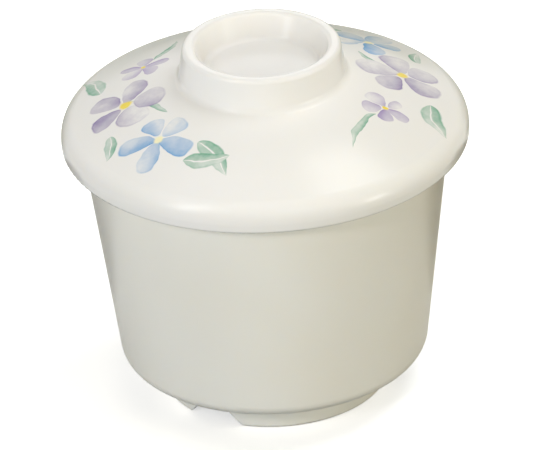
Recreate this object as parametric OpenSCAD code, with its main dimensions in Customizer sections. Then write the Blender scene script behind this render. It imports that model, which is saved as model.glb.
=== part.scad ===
// Lidded steaming bowl: a tapered cup on a notched foot ring, and a domed lid
// that laps over the cup's rim and is lifted by a hollow grip ring.
// Millimetres, +Z up. The origin is the centre of the foot, on the table.

/* [Bowl] */
// Height of the rim above the table
bowl_h = 68; // [60:0.5:90]
// Outside diameter of the rim
rim_d = 86.8; // [80:0.2:100]
// Lean of the wall from upright, in degrees
wall_lean = 7.2; // [3:0.1:8]
// Thickness of the wall
wall_t = 3; // [2.6:0.1:4]
// Thickness of the floor inside the foot ring
floor_t = 3; // [2.4:0.1:5]
// Rounding where the wall turns under
belly_r = 3.8; // [3:0.1:7]
// Rounding between wall and floor, inside
inside_r = 6.5; // [4:0.5:10]
// Rounding of the rim's two edges
rim_round = 1.1; // [0.6:0.1:1.2]

/* [Foot] */
// Outside diameter of the foot ring on the table
foot_d = 52.8; // [46:0.2:58]
// Height of the foot ring, up to the bowl's underside
foot_h = 7.8; // [6:0.1:10]
// Thickness of the foot ring on the table
foot_t = 2.8; // [2.2:0.1:4]
// Lean of the foot ring's sides, in degrees
foot_lean = 6; // [2:0.5:10]
// Rounding of the foot ring's lower edges
foot_edge = 0.8; // [0.4:0.1:1]
// Fillet between the foot ring and the underside
foot_fillet = 1; // [0.5:0.1:1.5]

/* [Drain notches] */
// Number of notches around the foot ring
notch_count = 3; // [2:1:5]
// Width of a notch on the table
notch_w = 14.7; // [11:0.1:18]
// Height of a notch
notch_h = 4.2; // [3:0.1:4.8]
// Lean of a notch's two ends, in degrees
notch_lean = 42; // [20:1:45]
// Rounding of a notch's upper corners
notch_round = 1; // [0.4:0.1:1.5]

/* [Lid] */
// Clearance around the rim, inside the lid's skirt
rim_gap = 0.8; // [0.4:0.1:1.4]
// Thickness of the skirt beside the rim
skirt_t = 3.3; // [2.6:0.1:5]
// Drop of the skirt below the rim
skirt_h = 4.6; // [4.4:0.1:9]
// Lean of the skirt's inside, in degrees
skirt_lean = 3; // [1:0.5:5]
// Rounding of the skirt's lower edges
skirt_edge = 0.8; // [0.4:0.1:1]
// Thickness of the dome
lid_t = 3; // [2.4:0.1:3.5]
// Height of the shoulder's corner above the rim
shoulder_h = 1; // [0.6:0.1:2.4]
// Rounding of the shoulder
shoulder_r = 5.4; // [4:0.1:7]
// Height of the dome at the grip ring, above the rim
dome_h = 11.8; // [10:0.2:16]
// Rise of the dome's middle above a straight cone
dome_bulge = 0.75; // [0.4:0.05:1.4]
// Fillet around the lid's flat ceiling, inside
ceiling_r = 12; // [4:0.5:20]
// Fillets inside the lid, around its seat
seat_fillet = 0.6; // [0.3:0.1:0.8]

/* [Grip ring] */
// Outside diameter of the grip ring at its lip
grip_d = 36.8; // [30:0.2:46]
// Height of the grip ring above the dome
grip_h = 7.7; // [4.5:0.1:9]
// Thickness of the grip ring at its lip
grip_t = 2.6; // [2.4:0.1:3.6]
// Rounding of the lip
lip_r = 1.1; // [0.6:0.1:1.2]
// Lean of the ring's outer side, in degrees
grip_draft = 8.5; // [2:0.5:14]
// Lean of the ring's inner side, in degrees
grip_lean = 26; // [10:1:32]
// Depth of the cup inside the ring
cup_h = 5.6; // [4.5:0.1:7]
// Fillet between the ring and the dome
grip_fillet = 2; // [1:0.1:2.6]
// Fillet between the ring's inner side and the cup's floor
cup_fillet = 1.6; // [0.6:0.1:2.4]

/* [Hidden] */
$fn = 144;
// Extra radius that lets an arc cross the lines it blends into
blend = 0.001;
// How far a cutter passes the face that it cuts
overcut = 1;
// How far a fillet's filling sinks into the walls that it joins
overlap = 0.1;

rim_radius = rim_d / 2;
wall_slope = tan(wall_lean);
wall_w = wall_t / cos(wall_lean);
foot_radius = foot_d / 2;
foot_flare = foot_h * tan(foot_lean);
floor_z = foot_h + floor_t;

// Heights of the lid are counted from its seat, which rests on the rim
pocket_radius = rim_radius + rim_gap;
lid_radius = pocket_radius + skirt_t;
seat_radius = rim_radius - wall_w;
grip_radius = grip_d / 2;
grip_base = grip_radius + grip_h * tan(grip_draft);
lip_z = dome_h + grip_h;
cup_z = lip_z - cup_h;
cup_radius = grip_radius - grip_t - cup_h * tan(grip_lean);
ceiling_z = cup_z - lid_t;
// The dome is two cones of unlike slope with a wide arc between them
dome_x = (lid_radius + grip_base) / 2;
dome_z = (shoulder_h + dome_h) / 2 + dome_bulge;
outer_slope = (dome_z - shoulder_h) / (lid_radius - dome_x);
inner_slope = (dome_h - dome_z) / (dome_x - grip_base);
// How much of a cone's width the arc takes, counting both of its ends
dome_arc_share = 0.7;
dome_turn = atan(outer_slope) - atan(inner_slope);
dome_r = dome_arc_share * (lid_radius - dome_x) / (2 * tan(dome_turn / 2));
dome_drop = lid_t / cos(atan(outer_slope));
ceiling_radius = dome_x - (ceiling_z - dome_z + dome_drop) / inner_slope;
seat_step = shoulder_h + (lid_radius - seat_radius) * outer_slope - dome_drop;
// The fillets beside this step take at most half of its height
seat_round = min(seat_fillet, seat_step / 2);

// Half sections, anticlockwise from the axis: radius, height and rounding of each corner
bowl_section = [
    [0, foot_h, 0],
    [foot_radius - foot_t - foot_flare, foot_h, foot_fillet],
    [foot_radius - foot_t, 0, foot_edge],
    [foot_radius, 0, foot_edge],
    [foot_radius + foot_flare, foot_h, foot_fillet],
    [rim_radius - wall_slope * (bowl_h - foot_h), foot_h, belly_r],
    [rim_radius, bowl_h, rim_round],
    [rim_radius - wall_w, bowl_h, rim_round],
    [rim_radius - wall_w - wall_slope * (bowl_h - floor_z), floor_z, inside_r],
    [0, floor_z, 0]
];

lid_section = [
    [0, ceiling_z, 0],
    [ceiling_radius, ceiling_z, ceiling_r],
    [dome_x, dome_z - dome_drop, dome_r],
    [seat_radius, seat_step, seat_round],
    [seat_radius, 0, seat_round],
    [pocket_radius, 0, seat_fillet],
    [pocket_radius + skirt_h * tan(skirt_lean), -skirt_h, skirt_edge],
    [lid_radius, -skirt_h, skirt_edge],
    [lid_radius, shoulder_h, shoulder_r],
    [dome_x, dome_z, dome_r],
    [grip_base, dome_h, grip_fillet],
    [grip_radius, lip_z, lip_r],
    [grip_radius - grip_t, lip_z, lip_r],
    [cup_radius, cup_z, cup_fillet],
    [0, cup_z, 0]
];

// Section of a drain notch, seen along the radius
notch_half = notch_w / 2;
notch_slant = tan(notch_lean);
notch_section = [
    [-notch_half - overcut * notch_slant, -overcut, 0],
    [notch_half + overcut * notch_slant, -overcut, 0],
    [notch_half - notch_h * notch_slant, notch_h, notch_round],
    [notch_h * notch_slant - notch_half, notch_h, notch_round]
];

function unit(v) = v / norm(v);
// Corner i of an outline, counted round past its ends
function corner(c, i) = let (p = c[(i + len(c)) % len(c)]) [p[0], p[1]];
function back(c, i) = unit(corner(c, i - 1) - corner(c, i));
function ahead(c, i) = unit(corner(c, i + 1) - corner(c, i));
function half_angle(c, i) = acos(back(c, i) * ahead(c, i)) / 2;
// True where the outline turns left, so that its corner points outwards
function points_out(c, i) = cross(ahead(c, i), back(c, i)) > 0;
// Where a corner's arc begins and ends
function arc_ends(c, i) =
    let (setback = c[i][2] / tan(half_angle(c, i)))
    [corner(c, i) + setback * back(c, i), corner(c, i) + setback * ahead(c, i)];

// What lies between a corner and its arc, reaching a little past the corner
module corner_piece(c, i, past) {
    ends = arc_ends(c, i);
    inwards = unit(back(c, i) + ahead(c, i));
    tip = corner(c, i) - past * inwards;
    difference() {
        polygon(points_out(c, i) ? [ends[0], tip, ends[1]] : [ends[1], tip, ends[0]]);
        translate(corner(c, i) + inwards * c[i][2] / sin(half_angle(c, i)))
            circle(r = c[i][2] + blend);
    }
}

// An outline with true arcs: hollow corners are filled, and the others are cut back
module outline(c) {
    rounded = [for (i = [0:len(c) - 1]) if (c[i][2] > 0) i];
    difference() {
        union() {
            polygon([for (i = [0:len(c) - 1]) corner(c, i)]);
            for (i = rounded) if (!points_out(c, i)) corner_piece(c, i, overlap);
        }
        for (i = rounded) if (points_out(c, i)) corner_piece(c, i, overcut);
    }
}

// One opening through the foot ring, towards +X
module drain_notch() {
    translate([foot_radius - foot_t - foot_flare - overcut, 0, 0])
        rotate([90, 0, 90])
            linear_extrude(foot_t + 2 * (foot_flare + overcut))
                outline(notch_section);
}

// Cup and foot ring, moulded in one. The first notch is on the -X side
module bowl() {
    color("ivory") difference() {
        rotate_extrude() outline(bowl_section);
        for (i = [0:notch_count - 1])
            rotate([0, 0, 180 + i * 360 / notch_count]) drain_notch();
    }
}

// Dome, skirt and grip ring, moulded in one, with the seat on the rim
module lid() {
    color("floralwhite") translate([0, 0, bowl_h])
        rotate_extrude() outline(lid_section);
}

bowl();
lid();
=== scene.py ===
import math
import bpy
from mathutils import Matrix, Vector


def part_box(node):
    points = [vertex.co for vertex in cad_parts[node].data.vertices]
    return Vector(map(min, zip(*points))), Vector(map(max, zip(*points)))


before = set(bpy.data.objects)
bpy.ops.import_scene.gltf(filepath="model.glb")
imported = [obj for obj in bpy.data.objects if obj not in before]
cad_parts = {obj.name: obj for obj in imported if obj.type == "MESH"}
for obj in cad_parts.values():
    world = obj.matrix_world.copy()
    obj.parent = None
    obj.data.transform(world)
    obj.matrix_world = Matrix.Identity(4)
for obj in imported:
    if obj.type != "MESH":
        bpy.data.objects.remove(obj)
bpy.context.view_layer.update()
mm = 0.001
fullTurn = 2 * math.pi
white = (1.0, 1.0, 1.0, 1.0)
print("frame loaded:", ", ".join(sorted(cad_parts)))


# small helpers for node trees
def tint(red, green, blue):
    # 0-255 screen values to the linear colour that sockets take
    linear = [((c / 255 + 0.055) / 1.055) ** 2.4 for c in (red, green, blue)]
    return (*linear, 1.0)


def feed(tree, socket, value):
    if isinstance(value, bpy.types.NodeSocket):
        tree.links.new(value, socket)
    else:
        socket.default_value = value


def addNode(tree, kind, settings=None, **sockets):
    node = tree.nodes.new(kind)
    for name, value in (settings or {}).items():
        setattr(node, name, value)
    for name, value in sockets.items():
        feed(tree, node.inputs[name.replace("_", " ")], value)
    return node


def calc(tree, operation, *values):
    node = addNode(tree, "ShaderNodeMath", {"operation": operation})
    for socket, value in zip(node.inputs, values):
        feed(tree, socket, value)
    return node.outputs[0]


def total(tree, *values):
    result = values[0]
    for value in values[1:]:
        result = calc(tree, "ADD", result, value)
    return result


def vecCalc(tree, operation, *values):
    node = addNode(tree, "ShaderNodeVectorMath", {"operation": operation})
    for socket, value in zip(node.inputs, values):
        feed(tree, socket, value)
    return node.outputs["Value" if operation == "LENGTH" else "Vector"]


def split(tree, vector):
    parts = addNode(tree, "ShaderNodeSeparateXYZ", Vector=vector).outputs
    return parts["X"], parts["Y"], parts["Z"]


def fade(tree, value, low, high, toLow=0.0, toHigh=1.0):
    # soft step: toLow up to low, toHigh from high on
    node = addNode(tree, "ShaderNodeMapRange", {"interpolation_type": "SMOOTHSTEP"}, Value=value)
    for name, number in zip(("From Min", "From Max", "To Min", "To Max"), (low, high, toLow, toHigh)):
        feed(tree, node.inputs[name], number)
    return node.outputs["Result"]


def mixColour(tree, factor, first, second):
    node = addNode(tree, "ShaderNodeMix", {"data_type": "RGBA"})
    feed(tree, node.inputs["Factor"], factor)
    feed(tree, node.inputs[6], first)  # the colour sockets share their names with the float ones
    feed(tree, node.inputs[7], second)
    return node.outputs[2]


def noise(tree, vector, scale, detail=2.0, roughness=0.5, output="Fac"):
    node = addNode(tree, "ShaderNodeTexNoise", Vector=vector, Scale=scale, Detail=detail,
                   Roughness=roughness)
    return node.outputs[output]


def newGroup(name, inputs, outputs):
    group = bpy.data.node_groups.new(name, "ShaderNodeTree")
    for socketName, kind in inputs:
        group.interface.new_socket(socketName, in_out="INPUT", socket_type="NodeSocket" + kind)
    for socketName, kind in outputs:
        group.interface.new_socket(socketName, in_out="OUTPUT", socket_type="NodeSocket" + kind)
    return group, group.nodes.new("NodeGroupInput").outputs, group.nodes.new("NodeGroupOutput").inputs


def placeGroup(tree, group, **sockets):
    return addNode(tree, "ShaderNodeGroup", {"node_tree": group}, **sockets).outputs


# moulded surface: faint clouds in the colour, uneven gloss, and the slight waviness of a pressed shell
surfaceSet = {
    "cloudScale": 30.0,
    "smearScale": 45.0,
    "waveScale": 70.0,
    "rippleScale": 1400.0,
    "rippleShare": 0.02,
    "noiseSpan": (0.3, 0.7),  # nearly all of a noise lies between these
}


def makeMouldedSurface():
    group, given, out = newGroup(
        "mouldedSurface",
        [("Vector", "Vector"), ("Body", "Color"), ("Cloud", "Color"),
         ("Gloss Low", "Float"), ("Gloss High", "Float")],
        [("Color", "Color"), ("Roughness", "Float"), ("Height", "Float")],
    )
    point = given["Vector"]
    span = surfaceSet["noiseSpan"]
    clouds = noise(group, point, surfaceSet["cloudScale"], detail=1.0)
    feed(group, out["Color"], mixColour(group, fade(group, clouds, *span), given["Body"], given["Cloud"]))
    smears = noise(group, point, surfaceSet["smearScale"])
    feed(group, out["Roughness"], fade(group, smears, *span, given["Gloss Low"], given["Gloss High"]))
    waves = noise(group, point, surfaceSet["waveScale"], detail=1.0)
    ripple = noise(group, point, surfaceSet["rippleScale"], detail=1.0)
    feed(group, out["Height"], calc(group, "MULTIPLY_ADD", ripple, surfaceSet["rippleShare"], waves))
    return group


# band at one height that is buffed or rubbed, broken up by grit; core is the share of it that is rubbed full
rubSet = {"core": 0.3, "grit": (0.35, 0.65), "gritDetail": 4.0, "gritRoughness": 0.65}


def makeRubbedBand():
    group, given, out = newGroup(
        "rubbedBand",
        [("Vector", "Vector"), ("Level", "Float"), ("Band", "Float"), ("Grain", "Float")],
        [("Mask", "Float")],
    )
    height = split(group, given["Vector"])[2]
    away = calc(group, "ABSOLUTE", calc(group, "SUBTRACT", height, given["Level"]))
    near = fade(group, calc(group, "DIVIDE", away, given["Band"]), rubSet["core"], 1.0, 1.0, 0.0)
    grit = noise(group, given["Vector"], given["Grain"], rubSet["gritDetail"], rubSet["gritRoughness"])
    feed(group, out["Mask"], calc(group, "MULTIPLY", near, fade(group, grit, *rubSet["grit"])))
    return group


# one blossom in thin wet colour: each petal is its own wash, deep on one flank and dried dark at the edge
# lengths are shares of the blossom's size; four numbers are a fade: from, to, and its amount at either end
petalSet = {
    "growth": (0.72, 1.08),
    "breadth": (0.78, 1.1),
    "lean": (-0.12, 0.12),  # radians
    "middle": 0.5,
    "rootHalf": 0.17,
    "flare": 0.3,
    "softEdge": (0.0, 0.12),
    "leastWash": 0.04,
    "washSpread": 0.46,
    "deepFlank": (-0.4, 0.9, 0.0, 0.34),
    "driedEdge": (0.02, 0.2, 0.36, 0.0),
    "driedFlank": (-0.8, 0.8, 0.3, 1.0),
    "heart": (0.15, 0.6, 0.16, 0.0),
    "blotches": (0.3, 0.7, -0.12, 0.12),
    "eyeWobble": 0.06,
    "eyeEdge": (0.11, 0.18, 1.0, 0.0),
    "redraw": 16.0,  # stretches one chance into a second one
}


def makeWashBlossom():
    group, given, out = newGroup(
        "washBlossom",
        [("Ground", "Color"), ("Bare", "Color"), ("Vector", "Vector"), ("Blotch", "Float"),
         ("Middle", "Vector"), ("Turn", "Float"), ("Size", "Float"), ("Petals", "Float"), ("Seed", "Float"),
         ("Paint", "Color"), ("Eye", "Color")],
        [("Color", "Color")],
    )
    apart = vecCalc(group, "SUBTRACT", given["Vector"], given["Middle"])
    acrossX, acrossY, _ = split(group, apart)
    radius = calc(group, "DIVIDE", vecCalc(group, "LENGTH", apart), given["Size"])
    bearing = calc(group, "ADD", calc(group, "ARCTAN2", acrossY, acrossX), given["Turn"])
    lobe = calc(group, "MULTIPLY", calc(group, "DIVIDE", bearing, fullTurn), given["Petals"])
    # the same petal on both sides of the seam at half a turn
    petal = calc(group, "WRAP", calc(group, "FLOOR", lobe), given["Petals"], 0.0)
    chances = addNode(group, "ShaderNodeTexWhiteNoise", {"noise_dimensions": "1D"},
                      W=calc(group, "ADD", petal, given["Seed"])).outputs["Color"]
    growth, leaning, strength = split(group, chances)
    breadth = calc(group, "FRACT", calc(group, "MULTIPLY", growth, petalSet["redraw"]))
    # along and across one petal, which is broader towards its tip
    swing = calc(group, "SUBTRACT", calc(group, "FRACT", lobe), 0.5)
    swing = calc(group, "MULTIPLY", swing, calc(group, "DIVIDE", fullTurn, given["Petals"]))
    swing = calc(group, "ADD", swing, fade(group, leaning, 0.0, 1.0, *petalSet["lean"]))
    along = calc(group, "MULTIPLY", radius, calc(group, "COSINE", swing))
    aside = calc(group, "MULTIPLY", radius, calc(group, "SINE", swing))
    grown = fade(group, growth, 0.0, 1.0, *petalSet["growth"])
    broad = fade(group, breadth, 0.0, 1.0, *petalSet["breadth"])
    flared = calc(group, "MULTIPLY_ADD", along, petalSet["flare"], petalSet["rootHalf"])
    ahead = calc(group, "DIVIDE", calc(group, "SUBTRACT", along, petalSet["middle"]),
                 calc(group, "MULTIPLY", grown, petalSet["middle"]))
    beside = calc(group, "DIVIDE", aside, calc(group, "MULTIPLY", flared, broad))
    spread = calc(group, "SQRT", calc(group, "ADD", calc(group, "POWER", ahead, 2.0),
                                      calc(group, "MULTIPLY", beside, beside)))
    inside = calc(group, "SUBTRACT", 1.0, spread)
    mask = fade(group, inside, *petalSet["softEdge"])
    # the paint ran to one flank or the other before it dried
    flank = calc(group, "MULTIPLY", beside, calc(group, "SIGN", calc(group, "SUBTRACT", leaning, 0.5)))
    driedEdge = calc(group, "MULTIPLY", fade(group, inside, *petalSet["driedEdge"]),
                     fade(group, flank, *petalSet["driedFlank"]))
    density = total(
        group,
        calc(group, "MULTIPLY_ADD", strength, petalSet["washSpread"], petalSet["leastWash"]),
        fade(group, flank, *petalSet["deepFlank"]),
        driedEdge,
        fade(group, radius, *petalSet["heart"]),
        fade(group, given["Blotch"], *petalSet["blotches"]),
    )
    wash = mixColour(group, density, given["Bare"], given["Paint"])
    bloom = mixColour(group, mask, given["Ground"], wash)
    wobble = calc(group, "MULTIPLY_ADD", given["Blotch"], petalSet["eyeWobble"], radius)
    eyeMask = fade(group, wobble, *petalSet["eyeEdge"])
    feed(group, out["Color"], mixColour(group, eyeMask, bloom, given["Eye"]))
    return group


# one brush stroke: a leaf with a bare midrib, or a plain blade; four numbers are a fade, as above
strokeSet = {
    "swell": 0.65,  # the lower, the nearer to its start the stroke is broadest
    "leastHalf": 0.0001,
    "softEdge": (0.8, 1.0, 1.0, 0.0),
    "bareRib": (0.03, 0.13, 1.0, 0.0),
    "wash": 0.26,
    "deepSide": (-0.3, 0.6, 0.0, 0.3),
    "driedEdge": (0.55, 0.95, 0.0, 0.2),
    "runOut": (0.4, 1.0, 0.12, -0.12),
    "blotches": (0.3, 0.7, -0.14, 0.14),
}


def makeWashStroke():
    group, given, out = newGroup(
        "washStroke",
        [("Ground", "Color"), ("Bare", "Color"), ("Vector", "Vector"), ("Blotch", "Float"),
         ("Start", "Vector"), ("Turn", "Float"), ("Length", "Float"), ("Width", "Float"), ("Bend", "Float"),
         ("Rib", "Float"), ("Paint", "Color")],
        [("Color", "Color")],
    )
    apart = vecCalc(group, "SUBTRACT", given["Vector"], given["Start"])
    turned = addNode(group, "ShaderNodeVectorRotate", {"rotation_type": "Z_AXIS"}, Vector=apart,
                     Angle=calc(group, "MULTIPLY", given["Turn"], -1.0)).outputs["Vector"]
    runX, runY, _ = split(group, turned)
    along = calc(group, "DIVIDE", runX, given["Length"])
    bow = calc(group, "MULTIPLY", calc(group, "MULTIPLY", along, calc(group, "SUBTRACT", 1.0, along)),
               given["Bend"])
    aside = calc(group, "SUBTRACT", calc(group, "DIVIDE", runY, given["Length"]), bow)
    held = calc(group, "MINIMUM", calc(group, "MAXIMUM", along, 0.0), 1.0)
    belly = calc(group, "MULTIPLY", calc(group, "POWER", held, strokeSet["swell"]),
                 calc(group, "SUBTRACT", 1.0, held))
    half = calc(group, "MAXIMUM", calc(group, "MULTIPLY", belly, given["Width"]), strokeSet["leastHalf"])
    beside = calc(group, "DIVIDE", aside, half)
    middling = calc(group, "ABSOLUTE", beside)
    mask = fade(group, middling, *strokeSet["softEdge"])
    bareRib = calc(group, "MULTIPLY", fade(group, middling, *strokeSet["bareRib"]), given["Rib"])
    density = total(
        group,
        strokeSet["wash"],
        fade(group, beside, *strokeSet["deepSide"]),
        fade(group, middling, *strokeSet["driedEdge"]),
        fade(group, along, *strokeSet["runOut"]),
        fade(group, given["Blotch"], *strokeSet["blotches"]),
    )
    density = calc(group, "MULTIPLY", density, calc(group, "SUBTRACT", 1.0, bareRib))
    wash = mixColour(group, density, given["Bare"], given["Paint"])
    feed(group, out["Color"], mixColour(group, mask, given["Ground"], wash))
    return group


mouldedSurface = makeMouldedSurface()
rubbedBand = makeRubbedBand()
washBlossom = makeWashBlossom()
washStroke = makeWashStroke()
print("node groups built")

# melamine, the same in both pieces: light goes a little way in and comes out warmer
melamineSet = {
    "ior": 1.5,
    "translucency": 0.5,
    "lightDepth": 1.2 * mm,
    "lightTint": (1.0, 0.9, 0.75),
    "waviness": 0.05 * mm,
    "grain": 900.0,
}


def newMaterial(name):
    material = bpy.data.materials.new(name)
    material.use_nodes = True
    tree = material.node_tree
    return material, tree, tree.nodes["Principled BSDF"]


def placeSurface(tree, point, pieceSet):
    return placeGroup(tree, mouldedSurface, Vector=point, Body=pieceSet["body"], Cloud=pieceSet["cloud"],
                      Gloss_Low=pieceSet["gloss"][0], Gloss_High=pieceSet["gloss"][1])


def placeRub(tree, point, level, pieceSet):
    return placeGroup(tree, rubbedBand, Vector=point, Level=level, Band=pieceSet["rubbedHeight"],
                      Grain=melamineSet["grain"])["Mask"]


def finish(tree, shader, height):
    shader.inputs["IOR"].default_value = melamineSet["ior"]
    shader.inputs["Subsurface Weight"].default_value = melamineSet["translucency"]
    shader.inputs["Subsurface Radius"].default_value = melamineSet["lightTint"]
    shader.inputs["Subsurface Scale"].default_value = melamineSet["lightDepth"]
    bump = addNode(tree, "ShaderNodeBump", Height=height, Distance=melamineSet["waviness"])
    feed(tree, shader.inputs["Normal"], bump.outputs["Normal"])


def dress(node, material):
    # the CAD piece keeps its mesh and takes the new finish
    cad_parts[node].data.materials.clear()
    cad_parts[node].data.materials.append(material)


# bowl: ivory melamine, rubbed dull on the ring it stands on
bowlLow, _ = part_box("bowl")
bowlSet = {
    "body": tint(238, 235, 227),
    "cloud": tint(236, 232, 222),
    "rubbed": tint(214, 209, 197),
    "gloss": (0.29, 0.37),
    "rubbedHeight": 0.9 * mm,
    "rubbedDulling": 0.35,
}


def makeBowlMaterial():
    material, tree, shader = newMaterial("bowlMelamine")
    point = addNode(tree, "ShaderNodeTexCoord").outputs["Object"]
    surface = placeSurface(tree, point, bowlSet)
    worn = placeRub(tree, point, bowlLow.z, bowlSet)
    feed(tree, shader.inputs["Base Color"], mixColour(tree, worn, surface["Color"], bowlSet["rubbed"]))
    feed(tree, shader.inputs["Roughness"],
         calc(tree, "MULTIPLY_ADD", worn, bowlSet["rubbedDulling"], surface["Roughness"]))
    finish(tree, shader, surface["Height"])
    return material


dress("bowl", makeBowlMaterial())
print("bowl dressed")

# lid: the same melamine with two sprays of wet-painted blossoms, one on each side of the grip ring
lidLow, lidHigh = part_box("lid")
lidSet = {
    "body": tint(233, 230, 227),
    "cloud": tint(231, 228, 223),
    "rubbed": tint(222, 217, 207),
    "gloss": (0.19, 0.26),
    "rubbedHeight": 0.7 * mm,
    "rubbedShare": 0.3,
    "printedSlope": (0.1, 0.3),  # upward part of the normal from which the print begins
}
paints = {
    "violet": tint(126, 108, 158),
    "lilac": tint(150, 130, 178),
    "blue": tint(86, 151, 203),
    "green": tint(70, 152, 116),
    "eye": tint(236, 212, 66),
    "paleEye": tint(240, 232, 190),
}
# places on the dome: bearing within the spray in degrees, and millimetres out from the axis
# a stroke turns anticlockwise from outward, and a blossom clockwise from the bearing of its spray
spraySet = {
    "bearings": (140.0, -40.0),
    "bleed": 2.4 * mm,
    "wanderScale": 170.0,
    "blotchScale": 230.0,
    "petals": 5,
    "strokes": [
        {"at": (43, 30), "turn": 62, "length": 12.5, "width": 0.62, "bend": 0.25, "rib": 1.0},
        {"at": (42, 35.5), "turn": 116, "length": 11, "width": 0.6, "bend": -0.3, "rib": 1.0},
        {"at": (-25, 38.5), "turn": -62, "length": 12, "width": 0.64, "bend": -0.25, "rib": 1.0},
        {"at": (7, 39), "turn": 64, "length": 8, "width": 0.6, "bend": 0.2, "rib": 1.0},
        {"at": (14, 26), "turn": -76, "length": 13, "width": 0.2, "bend": -0.3, "rib": 0.0},
        {"at": (-47, 30), "turn": -84, "length": 14, "width": 0.2, "bend": -0.35, "rib": 0.0},
    ],
    "blossoms": [
        {"at": (-8, 32.5), "size": 11, "turn": 20, "paint": "violet", "eye": "eye", "seed": 3},
        {"at": (26, 33), "size": 9.4, "turn": 55, "paint": "blue", "eye": "paleEye", "seed": 11},
        {"at": (-40, 30.5), "size": 6, "turn": 5, "paint": "lilac", "eye": "eye", "seed": 23},
    ],
}


def onDome(bearing, radius):
    angle = math.radians(bearing)
    return Vector((radius * math.cos(angle), radius * math.sin(angle), 0.0)) * mm


def paintSprays(tree, point, bare):
    # the wet edge wanders a little; height is dropped so that the print lies flat on the dome
    drift = noise(tree, point, spraySet["wanderScale"], output="Color")
    wander = vecCalc(tree, "SUBTRACT", drift, (0.5, 0.5, 0.5))
    strayed = vecCalc(tree, "ADD", point, vecCalc(tree, "MULTIPLY", wander, (spraySet["bleed"],) * 3))
    flat = vecCalc(tree, "MULTIPLY", strayed, (1.0, 1.0, 0.0))
    blotch = noise(tree, point, spraySet["blotchScale"], detail=3.0, roughness=0.6)
    colour = bare
    for spray in spraySet["bearings"]:
        for stroke in spraySet["strokes"]:
            bearing, radius = stroke["at"]
            colour = placeGroup(
                tree, washStroke, Ground=colour, Bare=bare, Vector=flat, Blotch=blotch,
                Start=onDome(spray + bearing, radius), Turn=math.radians(spray + bearing + stroke["turn"]),
                Length=stroke["length"] * mm, Width=stroke["width"], Bend=stroke["bend"],
                Rib=stroke["rib"], Paint=paints["green"])["Color"]
        for bloom in spraySet["blossoms"]:
            bearing, radius = bloom["at"]
            colour = placeGroup(
                tree, washBlossom, Ground=colour, Bare=bare, Vector=flat, Blotch=blotch,
                Middle=onDome(spray + bearing, radius), Turn=math.radians(bloom["turn"] - spray),
                Size=bloom["size"] * mm, Petals=spraySet["petals"], Seed=bloom["seed"] + spray,
                Paint=paints[bloom["paint"]], Eye=paints[bloom["eye"]])["Color"]
    return colour


def makeLidMaterial():
    material, tree, shader = newMaterial("lidMelamine")
    coords = addNode(tree, "ShaderNodeTexCoord").outputs
    point = coords["Object"]
    surface = placeSurface(tree, point, lidSet)
    # print on the upper face only
    upward = split(tree, coords["Normal"])[2]
    printed = mixColour(tree, fade(tree, upward, *lidSet["printedSlope"]), surface["Color"],
                        paintSprays(tree, point, surface["Color"]))
    # the skirt's edge is buffed after moulding
    buffed = calc(tree, "MULTIPLY", placeRub(tree, point, lidLow.z, lidSet), lidSet["rubbedShare"])
    feed(tree, shader.inputs["Base Color"], mixColour(tree, buffed, printed, lidSet["rubbed"]))
    feed(tree, shader.inputs["Roughness"], surface["Roughness"])
    finish(tree, shader, surface["Height"])
    return material


dress("lid", makeLidMaterial())
print("lid dressed and printed")

# camera: a long lens from above and a little off level
cameraSet = {
    "azimuth": -55.5,
    "elevation": 28.92,
    "roll": 2.66,
    "distance": 2000 * mm,
    "lens": 569.5,
    "sensor": 36.0,
    "clipEnd": 50.0,
    "aimHeight": 39.6 * mm,
    "aimAside": 0.1 * mm,
}


def directionFrom(azimuth, elevation):
    a, e = math.radians(azimuth), math.radians(elevation)
    return Vector((math.sin(a) * math.cos(e), -math.cos(a) * math.cos(e), math.sin(e)))


def rightHand(azimuth):
    # level, to the right of someone who looks in from that azimuth
    a = math.radians(azimuth)
    return Vector((math.cos(a), math.sin(a), 0.0))


def makeCamera():
    roll = math.radians(cameraSet["roll"])
    back = directionFrom(cameraSet["azimuth"], cameraSet["elevation"])
    level = rightHand(cameraSet["azimuth"])
    upright = back.cross(level)
    right = level * math.cos(roll) - upright * math.sin(roll)
    up = level * math.sin(roll) + upright * math.cos(roll)
    aim = level * cameraSet["aimAside"] + Vector((0.0, 0.0, cameraSet["aimHeight"]))
    camera = bpy.data.objects.new("camera", bpy.data.cameras.new("camera"))
    bpy.context.scene.collection.objects.link(camera)
    camera.data.lens = cameraSet["lens"]
    camera.data.sensor_width = cameraSet["sensor"]
    camera.data.clip_end = cameraSet["clipEnd"]
    turned = Matrix((right, up, back)).transposed().to_4x4()
    camera.matrix_world = Matrix.Translation(aim + back * cameraSet["distance"]) @ turned
    bpy.context.scene.camera = camera


makeCamera()
print("camera placed")

paperRoughness = 0.9


def makeCard(name, corners):
    mesh = bpy.data.meshes.new(name)
    mesh.from_pydata(corners, [], [(0, 1, 2, 3)])
    card = bpy.data.objects.new(name, mesh)
    bpy.context.scene.collection.objects.link(card)
    material, tree, shader = newMaterial(name + "Paper")
    card.data.materials.append(material)
    shader.inputs["Roughness"].default_value = paperRoughness
    shader.inputs["Specular IOR Level"].default_value = 0.0
    return card, tree, shader


def seenDirectly(tree):
    # 1 for camera, mirror and see-through rays, 0 for light that bounces
    path = addNode(tree, "ShaderNodeLightPath").outputs
    return calc(tree, "MAXIMUM", path["Is Camera Ray"],
                calc(tree, "MAXIMUM", path["Is Glossy Ray"], path["Is Transmission Ray"]))


# floor: matt, shown white with the shadow on it, and throwing back only as much light as a grey table
floorSet = {
    "half": 6.0,
    "colour": tint(240, 239, 236),
    "bounce": tint(90, 90, 87),
    "lift": 0.5,
    "unliftedReach": (90 * mm, 170 * mm),
}


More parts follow.
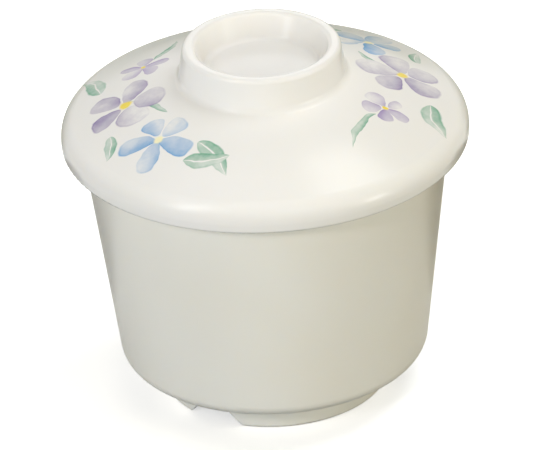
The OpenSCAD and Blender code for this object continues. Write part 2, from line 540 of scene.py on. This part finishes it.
def makeFloor():
    half = floorSet["half"]
    _, tree, shader = makeCard(
        "floor", [(-half, -half, 0), (half, -half, 0), (half, half, 0), (-half, half, 0)])
    seen = seenDirectly(tree)
    feed(tree, shader.inputs["Base Color"], mixColour(tree, seen, floorSet["bounce"], floorSet["colour"]))
    shader.inputs["Emission Color"].default_value = white
    # close to the bowl the gloss meets the floor as it is, so that the underside stays dark
    away = vecCalc(tree, "LENGTH", addNode(tree, "ShaderNodeTexCoord").outputs["Object"])
    clear = fade(tree, away, *floorSet["unliftedReach"])
    glossy = addNode(tree, "ShaderNodeLightPath").outputs["Is Glossy Ray"]
    kept = calc(tree, "MAXIMUM", clear, calc(tree, "SUBTRACT", 1.0, glossy))
    lifted = calc(tree, "MULTIPLY", calc(tree, "MULTIPLY", seen, kept), floorSet["lift"])
    feed(tree, shader.inputs["Emission Strength"], lifted)


# flags: cards seen only in the gloss, dark behind each flank and grey behind the dome, draw the edges
# millimetres to the right of the axis, behind it and up, as the camera sees them
flagSet = {
    "leftFlag": {"aside": (-110, -50), "behind": 30, "height": 42, "colour": tint(60, 58, 52)},
    "rightFlag": {"aside": (50, 110), "behind": 30, "height": 42, "colour": tint(60, 58, 52)},
    "backFlag": {"aside": (-130, 130), "behind": 115, "height": 80, "colour": tint(157, 163, 147)},
}


def makeFlags():
    level = rightHand(cameraSet["azimuth"]) * mm
    forward = directionFrom(cameraSet["azimuth"], 0.0) * mm
    for name, board in flagSet.items():
        foot = forward * -board["behind"]
        top = Vector((0.0, 0.0, board["height"])) * mm
        left, right = (foot + level * reach for reach in board["aside"])
        flag, _, shader = makeCard(name, [left, right, right + top, left + top])
        shader.inputs["Base Color"].default_value = board["colour"]
        flag.visible_camera = False
        flag.visible_diffuse = False
        flag.visible_transmission = False
        flag.visible_shadow = False


makeFloor()
makeFlags()
print("floor and flags set")

# light: a small key and broad fills that light the body, and boxes that show only in the gloss
# turn counts from the camera to the right, rise from level; size is width and height in metres
fillAway = 1.2
fillSet = {
    "keyLight": {"turn": -25, "rise": 34, "size": (0.15, 0.15), "power": 2.6, "colour": (1.0, 0.94, 0.97)},
    "frontFill": {"turn": -6, "rise": 14, "size": (0.6, 0.6), "power": 5.1, "colour": (0.9, 0.98, 1.0)},
    "leftFill": {"turn": -60, "rise": 14, "size": (0.6, 0.6), "power": 5.4, "colour": (0.97, 1.0, 0.98)},
    "rightFill": {"turn": 60, "rise": 14, "size": (0.6, 0.6), "power": 5.5, "colour": (1.0, 0.92, 0.68)},
    "rightTop": {"turn": 118, "rise": 62, "size": (0.6, 0.6), "power": 6.2, "colour": (0.9, 0.95, 1.0)},
    "overhead": {"turn": 0, "rise": 88, "size": (0.6, 0.6), "power": 2.5, "colour": (1.0, 0.96, 0.76)},
    "backRight": {"turn": 160, "rise": 10, "size": (0.3, 0.3), "power": 3.7, "colour": (1.0, 0.99, 0.97)},
    "backLeft": {"turn": -152, "rise": 10, "size": (0.3, 0.3), "power": 3.5, "colour": (1.0, 0.99, 0.97)},
}
glossAway = 1.0
glossSet = {
    "leftWindow": {"turn": -48, "rise": 39, "size": (0.17, 0.6), "power": 1.8},
    "rightWindow": {"turn": 59, "rise": 13, "size": (0.2, 0.2), "power": 0.8},
    "backGlow": {"turn": 126, "rise": 66, "size": (0.3, 0.3), "power": 0.7},
    "cupGlow": {"turn": 174, "rise": 30, "size": (0.35, 0.3), "power": 0.58},
}
roomSet = {"colour": white, "strength": 0.045}


def makeLamp(name, box, away):
    lamp = bpy.data.lights.new(name, "AREA")
    lamp.shape = "RECTANGLE"
    lamp.size, lamp.size_y = box["size"]
    lamp.energy = box["power"]
    stand = bpy.data.objects.new(name, lamp)
    bpy.context.scene.collection.objects.link(stand)
    towards = directionFrom(cameraSet["azimuth"] + box["turn"], box["rise"])
    stand.location = (bowlLow + lidHigh) / 2 + towards * away
    stand.rotation_euler = towards.to_track_quat("Z", "Y").to_euler()
    return stand


def makeLamps():
    for name, box in fillSet.items():
        fill = makeLamp(name, box, fillAway)
        fill.data.color = box["colour"]
        fill.visible_glossy = False
    for name, box in glossSet.items():
        makeLamp(name, box, glossAway).visible_diffuse = False


def makeRoom():
    # dim for light that bounces, white to the eye and to the gloss
    world = bpy.data.worlds.new("room")
    bpy.context.scene.world = world
    world.use_nodes = True
    tree = world.node_tree
    light = tree.nodes["Background"]
    light.inputs["Color"].default_value = roomSet["colour"]
    light.inputs["Strength"].default_value = roomSet["strength"]
    backdrop = addNode(tree, "ShaderNodeBackground", Color=white, Strength=1.0)
    either = addNode(tree, "ShaderNodeMixShader")
    feed(tree, either.inputs[0], seenDirectly(tree))
    feed(tree, either.inputs[1], light.outputs[0])
    feed(tree, either.inputs[2], backdrop.outputs[0])
    feed(tree, tree.nodes["World Output"].inputs["Surface"], either.outputs[0])


makeLamps()
makeRoom()
bpy.context.scene.view_settings.view_transform = "Standard"
print("lamps and room set")
